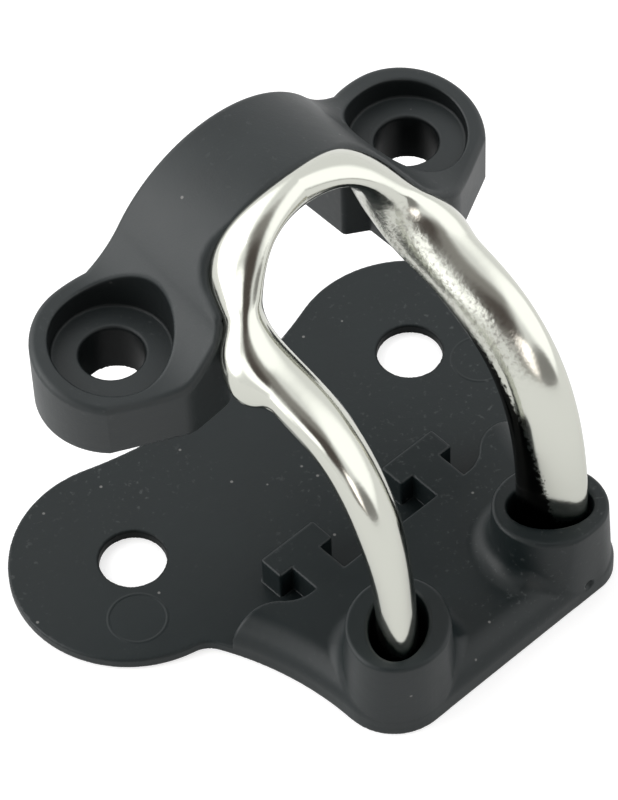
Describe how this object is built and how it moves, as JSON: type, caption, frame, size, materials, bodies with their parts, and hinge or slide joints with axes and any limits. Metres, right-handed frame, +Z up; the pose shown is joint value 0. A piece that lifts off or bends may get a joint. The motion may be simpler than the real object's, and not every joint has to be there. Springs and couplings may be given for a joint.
{
  "type": "rope fairlead eye",
  "caption": "Rope fairlead for a cam cleat: a bent steel rod eye standing in a moulded base plate and leaning on a moulded bridge with two screw ears.",
  "frame": {"origin": "midway between the two screw holes, on the underside of the base plate", "axes": "+Z up from the deck, X through both screws, -Y towards the rope side with the eye's legs"},
  "size_m": [0.0446, 0.0331, 0.0335],
  "materials": {
    "bridge_plastic": "satin moulded plastic, dark charcoal",
    "polished_steel": "polished stainless steel",
    "base_plastic": "satin moulded plastic, near black"
  },
  "bodies": {
    "root": {"bridge": "bridge_plastic", "wire_eye": "polished_steel", "base_plate": "base_plastic"}
  },
  "joints": []
}
